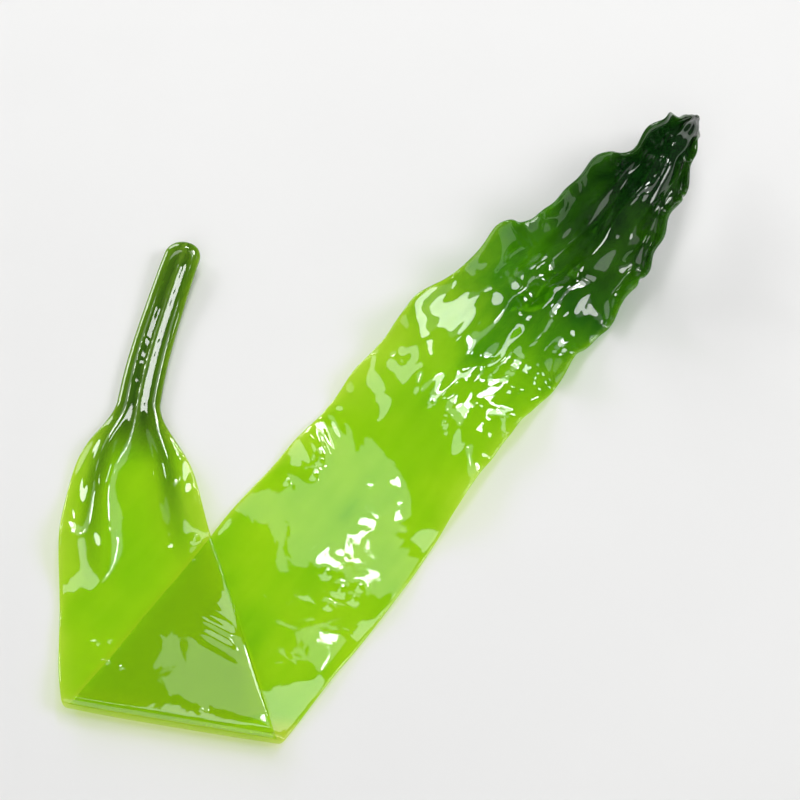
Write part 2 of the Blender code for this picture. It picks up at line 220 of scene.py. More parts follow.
def middle_line():
    """The flat middle line: its heading is summed up, step by step, into places."""
    u = np.linspace(-LOWER_LENGTH, STIPE_END, LINE_STEPS)
    turn = FLAP_TURN * ease(u, FLAP_TURN_START, STIPE_END)
    step = np.diff(u, prepend=u[0])
    x = np.cumsum(np.sin(turn) * step)
    y = -np.cumsum(np.cos(turn) * step)
    return u, x - np.interp(0, u, x), y - np.interp(0, u, y), turn


def flat_places(u, across):
    """The middle line's place at u, plus across times the direction square to the line."""
    line_u, line_x, line_y, line_turn = middle_line()
    turn = np.interp(u, line_u, line_turn)
    x = np.interp(u, line_u, line_x) + across * np.cos(turn)
    y = np.interp(u, line_u, line_y) + across * np.sin(turn)
    return x, y


print("unfolded, the stipe's end lies at, in mm:",
      [round(float(value) / MM, 1) for value in flat_places(STIPE_END, 0)])

# %% The lower layer's height and the flap's bed
RUFFLE_LENGTH = 17 * MM
RUFFLE_HEIGHT = 4.6 * MM
RUFFLE_GROWTH = (24 * MM, 118 * MM)
RUFFLE_LEAST = 0.08
RUFFLE_FROM_SHARE = 0.35
FRILL_LENGTH = 9.5 * MM
FRILL_HEIGHT = 1.6 * MM
FRILL_GROWTH = (66 * MM, 112 * MM)
FULL_HALF_WIDTH = 6 * MM
SWELL_HEIGHT = 2.2 * MM
SWELL_PLACE = 68 * MM
SWELL_REACH = 8 * MM
SWELL_SLANT = 0.45
LAYER_GAP = 0.35 * MM
DRAPE_REACH = 9 * MM
BED_PAST_MARGIN = 0.5 * MM


def lower_lift(x, y):
    """Height of the lower layer's underside.

    Waved margins, shorter frills on them towards the tip, both lower where the blade is narrow,
    plus one slanted swell, a bell curve. The waves of each margin drift in a rhythm of its own.
    """
    half = half_width(-y)
    share = np.clip(np.abs(x) / half, 0, 1)
    towards_margin = (np.clip(share - RUFFLE_FROM_SHARE, 0, 1) / (1 - RUFFLE_FROM_SHARE)) ** 2
    fullness = 1 - np.exp(-((half / FULL_HALF_WIDTH) ** 2))
    height = RUFFLE_HEIGHT * fullness * between((RUFFLE_LEAST, 1), ease(y, *RUFFLE_GROWTH))
    right_phase = 0.6 + 1.1 * np.sin(y / (17 * MM))
    left_phase = 2.9 + 0.9 * np.cos(y / (13 * MM))
    phase = np.where(x > 0, right_phase, left_phase)
    ruffle = height * towards_margin * (0.5 + 0.5 * np.sin(2 * np.pi * y / RUFFLE_LENGTH + phase))
    frill = FRILL_HEIGHT * fullness * ease(y, *FRILL_GROWTH) * towards_margin**2
    ruffle += frill * (0.5 + 0.5 * np.sin(2 * np.pi * y / FRILL_LENGTH + 2 * phase))
    swell = SWELL_HEIGHT * np.exp(-(((y + SWELL_SLANT * x - SWELL_PLACE) / SWELL_REACH) ** 2))
    return ruffle + swell


def support(x, y):
    """Height of what the flap lies on: the lower layer and a gap, easing down past its margin."""
    margin = -half_width(-y) - BED_PAST_MARGIN
    inside = np.maximum(x, margin)
    top = lower_lift(inside, y) + thickness(-y, inside) + LAYER_GAP
    return top * (1 - ease(margin - x, 0, DRAPE_REACH))


print("the lower layer's lift in mm on the swell and at a margin near the tip:",
      [round(float(lower_lift(x * MM, y * MM) / MM), 1) for x, y in ((0, 68), (11, 120))])

# %% The fold
FOLD_TILT = np.radians(25)
FOLD_RADIUS = 1.1 * MM
FOLD_OUT = np.array([np.sin(FOLD_TILT), -np.cos(FOLD_TILT)])
SHEAR_FADE = (6 * MM, 26 * MM)
FOOT_RISE = 12 * MM
SPRING_REACH = 9 * MM
CUP_HEIGHT = 3.0 * MM
CUP_GROWTH = (10 * MM, 38 * MM)
CUP_FADE_START = 46 * MM
CUP_WAVE = 19 * MM
STIPE_END_LIFT = 1.4 * MM
STIPE_LIFT_START = 0.35


def cup(u, v):
    """How far the flap's margins rise above its middle: |v|^2.2 times a slow wave along them."""
    grow = ease(u, *CUP_GROWTH) * (1 - ease(u, CUP_FADE_START, FLAP_LENGTH))
    phase = np.where(v > 0, 0.4, 2.2)
    wave = 0.62 + 0.38 * np.sin(2 * np.pi * u / CUP_WAVE + phase)
    return CUP_HEIGHT * grow * np.abs(v) ** 2.2 * wave


def folded(u, v):
    """The middle surface of the flat part, the fold, the flap and the stipe.

    With d the distance past the fold line and r the rod's radius, a point stays where it is
    while d is negative. Round the rod it stands r·sin(d/r) out and r·(1 - cos(d/r)) up. Past
    half a turn it has come back by d - π·r and lies on what is below.
    """
    half = half_width(u)
    across = v * half
    thick = thickness(u, across)
    shear = 1 - ease(np.abs(u), *SHEAR_FADE)
    x, y = flat_places(u - shear * across * np.tan(FOLD_TILT), across)
    d = x * FOLD_OUT[0] + y * FOLD_OUT[1]
    line_x, line_y = x - d * FOLD_OUT[0], y - d * FOLD_OUT[1]
    half_turn = np.pi * FOLD_RADIUS
    angle = np.clip(d, 0, half_turn) / FOLD_RADIUS
    back = np.maximum(d - half_turn, 0)
    reach = np.where(d < 0, d, FOLD_RADIUS * np.sin(angle) - back)
    x, y = line_x + reach * FOLD_OUT[0], line_y + reach * FOLD_OUT[1]
    foot = ease(u, FLAP_LENGTH - FOOT_RISE, FLAP_LENGTH)
    rise = thick / 2 * (1 - foot) + stipe_half_height(u) * foot
    below = np.where(d < 0, lower_lift(x, y), lower_lift(line_x, line_y))
    rolled = below + thick / 2 + FOLD_RADIUS * (1 - np.cos(angle))
    springing = (2 * FOLD_RADIUS - thick - LAYER_GAP) * np.exp(-((back / SPRING_REACH) ** 2))
    lift = STIPE_END_LIFT * ease((u - FLAP_LENGTH) / STIPE_LENGTH, STIPE_LIFT_START, 1) ** 1.5
    laid = support(x, y) + rise + springing + cup(u, v) + lift
    return np.stack([x, y, np.where(d < half_turn, rolled, laid)], -1)


print("the flap's foot lies at, in mm:",
      np.round(folded(np.array([[FLAP_LENGTH]]), np.zeros((1, 1)))[0, 0] / MM, 1).tolist())

# %% [markdown]
# ## The gathered tip
#
# Towards its tip a kelp blade is wider than the line it hangs on, so it gathers into pleats, its
# margins curl, and it stands up off the table. Noise displacement would stretch the sheet there.
# Instead each cross-section keeps its length: only its slope is chosen, a sine and a curl at each
# margin, and the slope is summed from the middle out. The sections are then threaded on a line
# that sways, arches and twists.

# %% Cross-sections that keep their length
FLAT_LENGTH = 52 * MM
SECTION_STEPS = 641
PLEAT_SLOPE = np.radians(64)
PLEAT_WAVES = 1.5
PLEAT_FULL = 131 * MM
CURLS = (np.radians(-40), np.radians(60))
CURL_GROWTH = (70 * MM, 122 * MM)
CURL_FROM_SHARE = 0.35
CURL_WAVE = 41 * MM
CURL_PHASES = (0.4, 2.6)


def pleats(far, v):
    """Places to the side and up on sections a distance far from the fold, for a grid of v.

    Slope s(v) = strength·sin(1.5·π·v + phase) + curls; side = sum of cos(s), height = sum of
    sin(s), each times the half width. The phase drifts towards the tip, and each margin's curl
    waxes and wanes in a rhythm of its own.
    """
    fine = np.linspace(-1, 1, SECTION_STEPS)
    strength = PLEAT_SLOPE * ease(far, FLAT_LENGTH, PLEAT_FULL)[:, None]
    phase = 0.7 + 1.4 * ease(far, FLAT_LENGTH, LOWER_LENGTH)[:, None]
    slope = strength * np.sin(np.pi * PLEAT_WAVES * fine + phase)
    curling = ease(far, *CURL_GROWTH)[:, None]
    for curl, outward, start in zip(CURLS, (-fine, fine), CURL_PHASES):
        uneven = 0.6 + 0.4 * np.sin(2 * np.pi * far / CURL_WAVE + start)[:, None]
        slope = slope + curl * curling * uneven * ease(outward, CURL_FROM_SHARE, 1)
    step = half_width(-far)[:, None] * (fine[1] - fine[0])
    middle = SECTION_STEPS // 2
    pick = (v + 1) / 2 * (SECTION_STEPS - 1)
    low = np.clip(np.floor(pick).astype(int), 0, SECTION_STEPS - 2)
    part = pick - low
    places = []
    for rate in (np.cos(slope), np.sin(slope)):
        line = np.cumsum(rate * step, 1)
        line = line - line[:, middle : middle + 1]
        before = np.take_along_axis(line, low, 1)
        after = np.take_along_axis(line, low + 1, 1)
        places.append(before * (1 - part) + after * part)
    return places


pleated = pleats(np.array([115 * MM]), np.array([[-1.0, 1.0]]))[0]
print("115 mm from the fold a section", round(float(2 * half_width(-115 * MM)) / MM, 1),
      "mm long gathers to", round(float(np.ptp(pleated)) / MM, 1), "mm")

# %% The line that the sections are threaded on
SWAY_TURN = 104 * MM
SWAYS = (np.radians(11), np.radians(-18.7))
ARCH_START = 88 * MM
ARCH_TOP = 111 * MM
ARCH_PITCH = np.radians(30)
TIP_PITCH = np.radians(-30)
TIP_TWIST = np.radians(-16)
SETTLE_LENGTH = 12 * MM
SETTLE_POINTS = 23


def tip_path():
    """Places of the middle line with its directions to the side and up.

    Yaw and pitch are sums of eased steps, and the twist turns the section about the line. Where
    a section would sink into the table, the line is raised by a smoothed copy of that depth.
    """
    path = np.linspace(0, LOWER_LENGTH, LINE_STEPS)
    yaw = SWAYS[0] * ease(path, FLAT_LENGTH, SWAY_TURN) + SWAYS[1] * ease(path, SWAY_TURN, LOWER_LENGTH)
    fall = ease(path, ARCH_TOP, LOWER_LENGTH)
    pitch = ARCH_PITCH * ease(path, ARCH_START, ARCH_TOP) + (TIP_PITCH - ARCH_PITCH) * fall
    twist = (TIP_TWIST * ease(path, FLAT_LENGTH, LOWER_LENGTH))[:, None]
    ahead = np.stack([np.sin(yaw) * np.cos(pitch), np.cos(yaw) * np.cos(pitch), np.sin(pitch)], -1)
    level = np.stack([np.cos(yaw), -np.sin(yaw), 0 * yaw], -1)
    upright = np.cross(level, ahead)
    right = level * np.cos(twist) + upright * np.sin(twist)
    up = upright * np.cos(twist) - level * np.sin(twist)
    spacing = path[1] - path[0]
    middle = (np.cumsum(ahead, 0) - ahead[0]) * spacing
    side, height = pleats(path, np.repeat(np.linspace(-1, 1, SETTLE_POINTS)[None], LINE_STEPS, 0))
    lowest = (middle[:, 2:] + side * right[:, 2:] + height * up[:, 2:]).min(1)
    reach = int(SETTLE_LENGTH / spacing / 2)
    window = np.hanning(2 * reach + 1)
    sunk = np.pad(np.minimum(lowest, 0), reach, mode="edge")
    middle[:, 2] -= np.convolve(sunk, window / window.sum(), "valid")
    return path, middle, right, up


print("the line's top lies, in mm, at a height of", round(float(tip_path()[1][:, 2].max()) / MM, 1))

# %% The whole middle surface
FAR_BLEND_START = 0.55 * FLAT_LENGTH


def gathered(u, v):
    """Each cross-section set on the path: middle + side·right + height·up."""
    path, *lines = tip_path()
    far = -u[:, 0]
    middle, right, up = (
        np.stack([np.interp(far, path, line[:, i]) for i in range(3)], -1)[:, None, :] for line in lines
    )
    side, height = pleats(far, v)
    return middle + right * side[..., None] + up * height[..., None]


def middle_surface(u, v):
    """The whole sprout's middle surface: the gathered far part eased into the folded near part."""
    across = v * half_width(u)
    near = folded(u, v)
    far = gathered(u, v)
    far[..., 2] += lower_lift(across, -u) + thickness(u, across) / 2
    share = ease(-u, FAR_BLEND_START, FLAT_LENGTH)[..., None]
    return near * (1 - share) + far * share


tip_end = middle_surface(np.array([[-LOWER_LENGTH]]), np.zeros((1, 1)))[0, 0]
print("the tip ends at, in mm:", np.round(tip_end / MM, 1).tolist())

# %% [markdown]
# ## Relief of wet skin
#
# Soaked kelp is covered by a film of its own jelly. The film is smooth but never even, and that
# is what breaks reflections into squiggles and blots. A noise texture could do it in the
# material, but then the outline and the shadows would stay too clean. So the larger relief is in
# the mesh: a sum of many flat waves with seeded headings, which gives soft, rounded lumps of a
# chosen width. The film lies only on the face that looks up, so the layers stay apart.

# %% A seeded field of lumps
def lumps(x, y, shortest, longest, seed, waves=56):
    """Sum of cos(2π·distance along a random heading / random wavelength), scaled to a spread of 1."""
    draw = np.random.default_rng(seed)
    length = draw.uniform(shortest, longest, waves)
    heading = draw.uniform(0, 2 * np.pi, waves)
    start = draw.uniform(0, 2 * np.pi, waves)
    field = np.zeros(np.broadcast(x, y).shape)
    for wave in range(waves):
        run = x * np.cos(heading[wave]) + y * np.sin(heading[wave])
        field += np.cos(2 * np.pi * run / length[wave] + start[wave])
    return field * np.sqrt(2 / waves)


square = np.meshgrid(np.linspace(0, 200 * MM, 100), np.linspace(0, 200 * MM, 100))
print("spread of a field of lumps:", round(float(lumps(*square, 13 * MM, 28 * MM, seed=4).std()), 2))

# %% Crests and crimps
CREST_LENGTH = 8.5 * MM
CREST_LEAN = 0.35
CREST_BEND = 1.5
CRIMP_HEIGHT = 0.055 * MM
CRIMP_LENGTH = 1.9 * MM
CRIMP_INSET = 3.6 * MM
CRIMP_HALF_WIDTH = 2.2 * MM
CRIMP_HEADING = (0.86, 0.5)
# places of the crimps: u in mm, the side, and the reach along the margin in mm
CRIMPS = ((18, 1, 5), (-52, -1, 5), (-76, 1, 6))


def ripples(u, across):
    """Crests that lean outwards like the ribs of a feather: sin(phase), its phase bent by slow lumps."""
    run = u + CREST_LEAN * np.abs(across)
    bend = CREST_BEND * lumps(across, u, 17 * MM, 34 * MM, seed=21)
    return np.sin(2 * np.pi * run / CREST_LENGTH + bend)


def crimps(u, across):
    """Fine folds that stand slanted to a margin: short waves under bell curves at a few places."""
    half = half_width(u)
    height = 0
    for place, side, reach in CRIMPS:
        along = np.exp(-(((u - place * MM) / (reach * MM)) ** 2))
        beside = np.exp(-(((side * across - half + CRIMP_INSET) / CRIMP_HALF_WIDTH) ** 2))
        slanted = CRIMP_HEADING[0] * u + CRIMP_HEADING[1] * side * across
        height = height + along * beside * np.sin(2 * np.pi * slanted / CRIMP_LENGTH)
    return CRIMP_HEIGHT * height


print("places with crimps:", len(CRIMPS))

# %% Drops and beads
# groups of drops: u and the distance from the middle line in mm, and how many there are
DROP_GROUPS = (
    (30, 7, 4), (15, -8, 5), (6, 4, 3), (-14, -6, 4),
    (-31, 8, 5), (-47, -9, 4), (-66, 3, 5), (-90, -6, 6),
)
DROP_RADII = (0.4 * MM, 0.8 * MM)
DROP_FLATNESS = 0.3
GROUP_SPREAD = 2.4
BEAD_HEIGHT = 0.009 * MM
BEAD_LENGTH = 3.4 * MM
BEAD_BEND = 2.0
BEAD_HALF_WIDTH = 1.9 * MM
BEADS_GROWTH = (50 * MM, 62 * MM)


def drops(u, across):
    """Small drops of jelly: rounded domes, height·exp(-(r / radius)²), in seeded groups."""
    draw = np.random.default_rng(16)
    height = np.zeros(np.broadcast(u, across).shape)
    for group_u, group_across, count in DROP_GROUPS:
        for offset in draw.normal(0, GROUP_SPREAD, (count, 2)):
            radius = draw.uniform(*DROP_RADII)
            aside = (u - (group_u + offset[0]) * MM) ** 2 + (across - (group_across + offset[1]) * MM) ** 2
            height = np.maximum(height, DROP_FLATNESS * radius * np.exp(-aside / radius**2))
    return height


def beads(u, across):
    """Fine unevenness of the stipe's channel: short waves along it, bent by lumps, a bell curve wide."""
    bend = BEAD_BEND * lumps(across, u, 4 * MM, 9 * MM, seed=12)
    wave = np.sin(2 * np.pi * u / BEAD_LENGTH + bend)
    return BEAD_HEIGHT * ease(u, *BEADS_GROWTH) * np.exp(-((across / BEAD_HALF_WIDTH) ** 2)) * wave


print("drops in all:", sum(count for *_, count in DROP_GROUPS))

# %% The film
FILM_THICKNESS = 0.1 * MM
FILM_MARGIN = 2.2 * MM
FILM_FAR_GROWTH = (42 * MM, 92 * MM)
FILM_NEAR_STRENGTH = 0.55
FILM_THINNING = 0.85
FILM_THINNING_START = 34 * MM
SLOW_LUMP_HEIGHT = 0.09 * MM
CREST_HEIGHT = 0.15 * MM
SMALL_LUMP_HEIGHT = 0.009 * MM
SMALL_LUMP_LEAST = 0.3


def film(u, across, shown):
    """Height of the jelly film's surface over the plain skin of one face, less than 0 in a dip.

    It is an even height plus slow lumps all over, crests and small lumps over the far half, the
    crimps, the drops and the beads. It fades out towards the margins and over the flap's foot.
    """
    half = half_width(u)
    inner = 1 - ease(np.abs(across), half - FILM_MARGIN, half)
    far = ease(-u, *FILM_FAR_GROWTH)
    slow = SLOW_LUMP_HEIGHT * lumps(across, u, 13 * MM, 28 * MM, seed=4)
    crests = CREST_HEIGHT * far * ripples(u, across)
    small = SMALL_LUMP_HEIGHT * (SMALL_LUMP_LEAST + far) * lumps(across, u, 3 * MM, 6 * MM, seed=9)
    thinning = 1 - FILM_THINNING * ease(u, FILM_THINNING_START, FLAP_LENGTH)
    strength = between((FILM_NEAR_STRENGTH, 1), far) * thinning
    fine = crimps(u, across) + drops(u, across) + beads(u, across)
    return shown * inner * (strength * (slow + crests + small + FILM_THICKNESS) + fine)


film_places = np.array([-10, -50, -90, -130]) * MM
print("film in mm at four places of the middle line:",
      np.round(film(film_places, 0 * film_places, 1) / MM, 2).tolist())

# %% The sheet's own puckers
PUCKER_GROWTH = (46 * MM, 96 * MM)
PUCKER_FROM_SHARE = 0.25
PUCKER_HEIGHT = 0.34 * MM
PUCKER_LENGTH = 6.4 * MM
PUCKER_DRIFT_REACH = 9 * MM
BUCKLE_HEIGHT = 0.12 * MM


def puckers(u, v):
    """Height of the sheet's own small crimps, which run in from the margins of the far half.

    Waves with a drifting phase, as high as the square of the way to the margin, plus low lumps.
    """
    edge = np.clip((np.abs(v) - PUCKER_FROM_SHARE) / (1 - PUCKER_FROM_SHARE), 0, 1) ** 2
    grow = ease(-u, *PUCKER_GROWTH)
    drift = 2.2 * np.sin(u / PUCKER_DRIFT_REACH) + np.where(v > 0, 0, 2)
    wave = np.sin(2 * np.pi * u / PUCKER_LENGTH + drift)
    buckles = BUCKLE_HEIGHT * lumps(3 * v * HALF_WIDTH, u, 9 * MM, 20 * MM, seed=31)
    return grow * (PUCKER_HEIGHT * edge * wave + buckles)


print("puckers in mm at four places of a margin:", np.round(puckers(film_places, 1) / MM, 2).tolist())

# %% [markdown]
# ## The doubled part
#
# Where the flap lies on the lower layer, light has to pass both, and the lower one's skin isn't in
# open air, so there it has no gloss. The material has to know that place. Rays could find it, one
# for each point. But the fold is a straight line, so whole arrays of places are mirrored about it
# at once and set against the flap's flat outline.

# %% Where the flap covers the lower layer
COVER_EDGE = (-0.1 * MM, 0.4 * MM)
NEAR_STATION = 1 * MM
STATION_STRIDE = 12


def covered(places):
    """1 where both layers lie on each other, 0 elsewhere, eased over half a millimetre.

    A place is unfolded by mirroring it about the fold line. It is under the flap if its
    distance from the nearest station of the flap's middle line is less than the half width.
    """
    x, y = places[..., 0], places[..., 1]
    d = x * FOLD_OUT[0] + y * FOLD_OUT[1]
    unfolded = np.pi * FOLD_RADIUS - 2 * d
    flat_x, flat_y = x + unfolded * FOLD_OUT[0], y + unfolded * FOLD_OUT[1]
    line_u, line_x, line_y, turn = (line[::STATION_STRIDE] for line in middle_line())
    nearest = np.full(x.shape, np.inf)
    aside = np.zeros(x.shape)
    for u, mid_x, mid_y, heading in zip(line_u, line_x, line_y, turn):
        if not 0 < u < FLAP_LENGTH:
            continue
        ahead = np.abs((flat_x - mid_x) * np.sin(heading) - (flat_y - mid_y) * np.cos(heading))
        beside = np.abs((flat_x - mid_x) * np.cos(heading) + (flat_y - mid_y) * np.sin(heading))
        closer = ahead < nearest
        nearest = np.where(closer, ahead, nearest)
        aside = np.where(closer, half_width(u) - beside, aside)
    over_lower = half_width(-y) - np.abs(x)
    inset = np.minimum(np.minimum(aside, over_lower), -d)
    return ease(inset, *COVER_EDGE) * (nearest < NEAR_STATION)


print("covered 10 mm and 60 mm from the fold:",
      covered(np.array([[0, 10 * MM, 0], [0, 60 * MM, 0]])).tolist())

# %% [markdown]
# ## One closed skin
#
# A sheet with two faces and a sharp rim looks like cut plastic. The real margin is rounded and
# catches a thin line of light. So the mesh is a tube that has been pressed flat: each
# cross-section is a ring that goes over the upper face, round the margin, back along the lower
# face and round the other margin, with extra points where it turns. Rings stand close together
# where the blade bends hardest, round the fold and at the tip.

# %% Rings of the closed skin
RIM_POINTS = 4
LOWER_SHOWN_UP_TO = (-2 * MM, 1 * MM)
FLAP_SHOWN_FROM = (2 * MM, 7 * MM)
TABLE_CLEARANCE = 0.02 * MM


def ring_places(u, spans):
    """v at the points of a half ring: evenly spaced inside, then round a quarter circle at each rim."""
    half = half_width(u)[:, None]
    rim = np.minimum(RIM_RADIUS, half / 2)
    inside = np.linspace(-1, 1, spans + 1)[None] * (half - rim)
    turn = np.linspace(0, np.pi / 2, RIM_POINTS + 1)[1:][None]
    outside = half - rim + rim * np.sin(turn)
    return np.concatenate([-outside[:, ::-1], inside, outside], 1) / half


def unit_normals(places):
    """Cross product of the grid's two directions, at unit length."""
    along, across = np.gradient(places, axis=0), np.gradient(places, axis=1)
    normal = np.cross(along, across)
    return normal / np.linalg.norm(normal, axis=-1, keepdims=True)


def skin(stations, spans):
    """Points of the rings, and the flat coordinates that go with them.

    A point is middle + normal·(section + film) on one face and middle - normal·(the same) on
    the other. Nothing sinks below the table.
    """
    v = ring_places(stations, spans)
    u = np.repeat(stations[:, None], v.shape[1], 1)
    across = v * half_width(u)
    middle = middle_surface(u, v)
    middle = middle + unit_normals(middle) * puckers(u, v)[..., None]
    normal = unit_normals(middle)
    rings = []
    for side, shown in ((1, 1 - ease(u, *LOWER_SHOWN_UP_TO)), (-1, ease(u, *FLAP_SHOWN_FROM))):
        out = section(u, across, shown) + film(u, across, shown)
        rings.append(middle + side * normal * out[..., None])
    upper, lower = rings
    points = np.concatenate([upper, lower[:, -2:0:-1]], 1)
    points[..., 2] = np.maximum(points[..., 2], TABLE_CLEARANCE)
    flat_u = np.concatenate([u, u[:, -2:0:-1]], 1)
    flat_across = np.concatenate([across, across[:, -2:0:-1]], 1)
    return points, flat_u, flat_across


def skin_faces(rows, ring):
    """Quads between neighbouring rings, and a strip of quads that closes each end.

    A strip's last faces have two corners in one place, and these become one corner.
    """
    index = np.arange(rows * ring).reshape(rows, ring)
    after = np.roll(index, -1, axis=1)
    sides = np.stack([index[:-1], index[1:], after[1:], after[:-1]], -1).reshape(-1, 4)
    half = ring // 2
    top = np.arange(half + 1)
    bottom = (ring - top) % ring
    strip = np.stack([top[:-1], top[1:], bottom[1:], bottom[:-1]], -1)
    faces = [*sides.tolist(), *strip.tolist(), *(strip[:, ::-1] + (rows - 1) * ring).tolist()]
    return [list(dict.fromkeys(face)) for face in faces]


print("the last points of a half ring, as shares of the half width:",
      np.round(ring_places(np.zeros(1), 78)[0, -RIM_POINTS - 2 :], 3).tolist())

# %% [markdown]
# ## Blade and stipe
#
# Both grew as one, but each has a colour and a form of its own, so each is a piece. They are cut
# from the same skin at the flap's foot, where they meet. Each piece keeps its flat coordinates as
# attributes. A pattern that reads them follows the ribbon round its fold, and a pattern laid
# through space would not.

# %% Turn arrays into a piece
SHARP_ANGLE = np.radians(60)


def add_piece(name, points, faces, material=None, **attributes):
    """A smooth-shaded object at the origin, its places in its mesh, and an attribute for each label."""
    mesh = bpy.data.meshes.new(name)
    mesh.from_pydata(points.reshape(-1, 3), [], faces)
    mesh.update()
    mesh.shade_smooth()
    mesh.set_sharp_from_angle(angle=SHARP_ANGLE)
    for label, values in attributes.items():
        layer = mesh.attributes.new(label, "FLOAT", "POINT")
        layer.data.foreach_set("value", np.ascontiguousarray(values, dtype=np.float32).ravel())
    piece = bpy.data.objects.new(name, mesh)
    bpy.context.scene.collection.objects.link(piece)
    if material:
        mesh.materials.append(material)
    print(name, "has", len(mesh.polygons), "faces")
    return piece


def frame_shift(points):
    """From this drawing's axes to the frame's: the middles of the two blades' boxes are laid together."""
    low, high = (np.array(corner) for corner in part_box("blade"))
    shift = (low + high) / 2 - (points.min((0, 1)) + points.max((0, 1))) / 2
    return shift * (1, 1, 0)


def stations_between(*stops):
    """Stations along the middle line: pairs of a place and the spacing up to the next place."""
    runs = [
        np.linspace(start, end, int(round((end - start) / step)), endpoint=False)
        for (start, step), (end, _) in zip(stops[:-1], stops[1:])
    ]
    return np.concatenate([*runs, [stops[-1][0]]])


# %% The blade
OLIVE_START = 46 * MM
RAIL_OLIVE = 0.9
BLADE_STATIONS = stations_between(
    (-LOWER_LENGTH, 0.12 * MM),
    (-LOWER_LENGTH + 1.2 * MM, 0.3 * MM),
    (-LOWER_LENGTH + 6 * MM, 0.4 * MM),
    (-4 * MM, 0.2 * MM),
    (8 * MM, 0.3 * MM),
    (30 * MM, 0.46 * MM),
    (FLAP_LENGTH, 0),
)
blade_points, blade_u, blade_across = skin(BLADE_STATIONS, spans=78)
SHIFT = frame_shift(blade_points)
blade = add_piece(
    "kelp_blade",
    blade_points + SHIFT,
    skin_faces(*blade_u.shape),
    along=blade_u / MM,
    across=blade_across / MM,
    inset=(half_width(blade_u) - np.abs(blade_across)) / MM,
    share=np.abs(blade_across) / half_width(blade_u),
    olive=np.maximum(RAIL_OLIVE * rails(blade_u, blade_across), ease(blade_u, OLIVE_START, FLAP_LENGTH)),
    doubled=covered(blade_points),
)
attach(blade, "root")
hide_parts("blade")
print("shift in mm:", np.round(SHIFT / MM, 2).tolist())

# %% The stipe
SEAM_GAP = 0.02 * MM
STIPE_STATIONS = stations_between(
    (FLAP_LENGTH + SEAM_GAP, 0.24 * MM),
    (STIPE_END - STIPE_END_ROUND, 0.2 * MM),
    (STIPE_END - 0.4 * MM, 0.08 * MM),
    (STIPE_END, 0),
)
stipe_points, stipe_u, stipe_across = skin(STIPE_STATIONS, spans=44)
stipe = add_piece(
    "kelp_stipe",
    stipe_points + SHIFT,
    skin_faces(*stipe_u.shape),
    along=stipe_u / MM,
    across=stipe_across / MM,
    inset=(half_width(stipe_u) - np.abs(stipe_across)) / MM,
    share=np.abs(stipe_across) / np.maximum(half_width(stipe_u), 0.5 * MM),
    olive=np.ones_like(stipe_u),
)
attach(stipe, "root")
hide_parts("stipe")

# %% [markdown]
# ## The look of wet kelp
#
# The blade is a green filter. Light goes through it, comes back from the white table and goes
# through it again, so one layer looks lime, two look deeper, and the folded part shows its own
# hidden edge. A refracting glass material would do this slowly and with dark shadows. Here every
# face mixes three things: a tinted see-through part, a little green that scatters, and on top a
# sharp clear gloss whose strength grows towards grazing view, as on any wet skin.

# %% Small helpers for materials
def new_material(name):
    """An empty node material and its tree."""
    material = bpy.data.materials.new(name)
    material.use_nodes = True
    material.node_tree.nodes.clear()
    return material, material.node_tree


def node(tree, kind, inputs=None, **settings):
    """A node with its settings; an input is a number, a colour, or another node's socket."""
    made = tree.nodes.new(kind)
    for label, value in settings.items():
        setattr(made, label, value)
    for label, value in (inputs or {}).items():
        if isinstance(value, bpy.types.NodeSocket):
            tree.links.new(value, made.inputs[label])
        else:
            made.inputs[label].default_value = value
    return made


def reading(tree, label):
    """The piece's own attribute of that name."""
    return node(tree, "ShaderNodeAttribute", attribute_name=label).outputs["Fac"]


def math(tree, operation, *values):
    """One step of arithmetic on numbers or sockets."""
    return node(tree, "ShaderNodeMath", dict(enumerate(values)), operation=operation).outputs[0]


def spread(tree, value, low, high, to_low=0.0, to_high=1.0):
    """A value's range carried smoothly over to another range."""
    inputs = {"Value": value, "From Min": low, "From Max": high, "To Min": to_low, "To Max": to_high}
    return node(tree, "ShaderNodeMapRange", inputs, interpolation_type="SMOOTHSTEP").outputs["Result"]


def blotches(tree, size_mm, detail=2.0, distortion=0.0, stretch=(1, 1, 1)):
    """Noise in Object coordinates whose lumps are about size_mm wide."""
    place = node(tree, "ShaderNodeTexCoord").outputs["Object"]
    turned = node(tree, "ShaderNodeMapping", {"Vector": place, "Scale": stretch}).outputs["Vector"]
    inputs = {"Vector": turned, "Scale": 1000 / size_mm, "Detail": detail, "Distortion": distortion}
    return node(tree, "ShaderNodeTexNoise", inputs).outputs["Fac"]


def ramp(tree, value, *stops):
    """Colours at places between 0 and 1, blended in between."""
    made = node(tree, "ShaderNodeValToRGB", {"Fac": value})
    marks = made.color_ramp.elements
    while len(marks) < len(stops):
        marks.new(0.5)
    for mark, (place, colour) in zip(marks, stops):
        mark.position, mark.color = place, (*colour, 1)
    return made.outputs["Color"]


def mix_colours(tree, share, first, second):
    """The first colour, with the given share of the second; 6, 7 and 2 are its colour sockets."""
    return node(tree, "ShaderNodeMix", {"Factor": share, 6: first, 7: second}, data_type="RGBA").outputs[2]


def mix_shaders(tree, share, first, second):
    """The first shader, with the given share of the second."""
    made = node(tree, "ShaderNodeMixShader", {0: share})
    tree.links.new(first, made.inputs[1])
    tree.links.new(second, made.inputs[2])
    return made.outputs[0]


